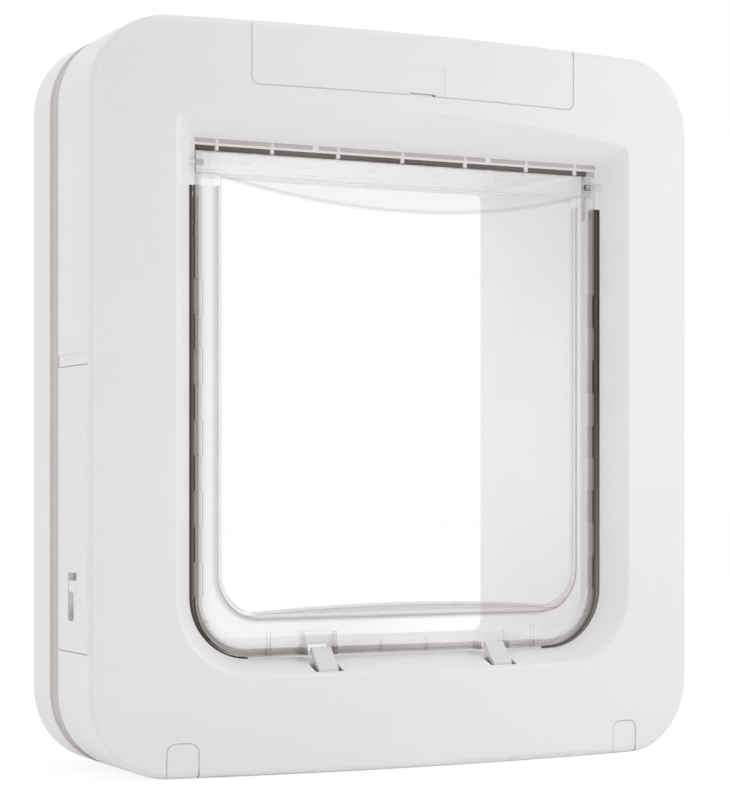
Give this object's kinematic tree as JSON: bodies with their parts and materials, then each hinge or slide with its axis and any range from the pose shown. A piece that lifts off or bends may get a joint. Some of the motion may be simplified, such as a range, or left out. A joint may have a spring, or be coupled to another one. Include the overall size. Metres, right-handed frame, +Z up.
{
  "type": "cat flap",
  "caption": "Cat flap: bowed white frame with a flared opening, clear swinging flap, sill latches, tunnel and outer frame",
  "frame": {"origin": "middle of the bottom edge, in the plane of the interior face's left and right edges", "axes": "+X to the right seen from inside the house, +Y through the door to the outside, +Z up"},
  "size_m": [0.262, 0.1179, 0.285],
  "materials": {
    "white_casing": "fine satin moulded ABS",
    "latch_plastic": "satin moulded acetal",
    "clear_plastic": "clear polished",
    "pile": "short brush pile",
    "foam": "closed-cell foam",
    "steel": "zinc plated",
    "motor_can": "plated can",
    "cell_jacket": "printed jacket",
    "copper": "enamelled winding",
    "board": "solder mask"
  },
  "bodies": {
    "frame": {"interior_frame": "white_casing", "exterior_frame": "white_casing", "side_panel": "white_casing", "rear_cover": "white_casing", "tunnel": "white_casing", "screw_cover_left": "white_casing", "screw_cover_right": "white_casing", "shaft_bracket_left": "latch_plastic", "shaft_bracket_right": "latch_plastic", "battery_tray": "latch_plastic", "hinge_bush_left": "latch_plastic", "hinge_bush_right": "latch_plastic", "pile_seal": "pile", "pile_seal_top": "pile", "door_gasket": "foam", "fixing_screws": "steel", "fixing_nuts": "steel", "case_screws": "steel", "battery_contacts": "steel", "lock_motor": "motor_can", "battery_1": "cell_jacket", "battery_2": "cell_jacket", "battery_3": "cell_jacket", "battery_4": "cell_jacket", "antenna_coil": "copper", "control_board": "board"},
    "flap": {"flap": "clear_plastic", "hinge_pin_left": "steel", "hinge_pin_right": "steel"},
    "lock": {"lock_shaft": "steel", "sector_gear": "latch_plastic", "latch_left": "latch_plastic", "latch_right": "latch_plastic"},
    "pinion": {"motor_pinion": "latch_plastic"},
    "battery_cover": {"battery_cover": "white_casing"},
    "lock_slider": {"lock_slider": "white_casing"},
    "setting_button": {"setting_button": "latch_plastic"}
  },
  "joints": [
    {"name": "flap_swing", "type": "hinge", "parent": "frame", "child": "flap", "pos_m": [0, 0.0046, 0.232], "axis": [1, 0, 0], "range_deg": [-80, 80]},
    {"name": "lock_turn", "type": "hinge", "parent": "frame", "child": "lock", "pos_m": [0, 0.02, 0.02333], "axis": [-1, 0, 0], "range_deg": [0, 8]},
    {"name": "pinion_turn", "type": "hinge", "parent": "frame", "child": "pinion", "pos_m": [0, 0.00727, 0.0106], "axis": [-1, 0, 0], "range_deg": [-28, 0]},
    {"name": "battery_cover_open", "type": "hinge", "parent": "frame", "child": "battery_cover", "pos_m": [0, 0.024, 0.283], "axis": [-1, 0, 0], "range_deg": [0, 80]},
    {"name": "lock_slide", "type": "slide", "parent": "frame", "child": "lock_slider", "axis": [0, 0, 1], "range_m": [-0.0106, 0.0028]},
    {"name": "button_press", "type": "slide", "parent": "frame", "child": "setting_button", "axis": [0, 1, 0], "range_m": [0, 0.0015], "stiffness_N_per_m": 200}
  ],
  "couplings": [
    {"joint": "pinion_turn", "follows": "lock_turn", "ratio": -3.5}
  ]
}
